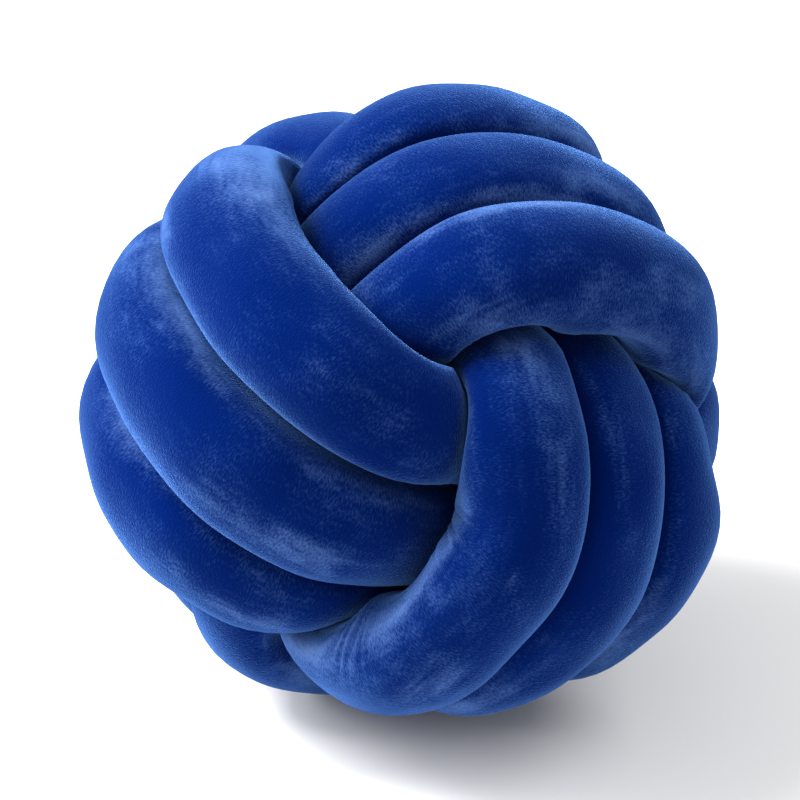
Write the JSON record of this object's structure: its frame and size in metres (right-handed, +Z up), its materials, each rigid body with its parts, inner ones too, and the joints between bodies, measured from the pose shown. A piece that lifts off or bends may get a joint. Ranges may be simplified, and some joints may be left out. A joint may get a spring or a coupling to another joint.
{
  "type": "knot cushion",
  "caption": "Ball-shaped knot cushion: one long stuffed velvet tube wound and tucked into a round interlocked knot.",
  "frame": {"origin": "under the middle of the ball, on the surface that it rests on", "axes": "+Z up, -Y towards the side that the picture shows, +X to its right"},
  "size_m": [0.2795, 0.2827, 0.2735],
  "materials": {
    "velvet": "matte"
  },
  "bodies": {
    "root": {"knotted_tube": "velvet"}
  },
  "joints": []
}
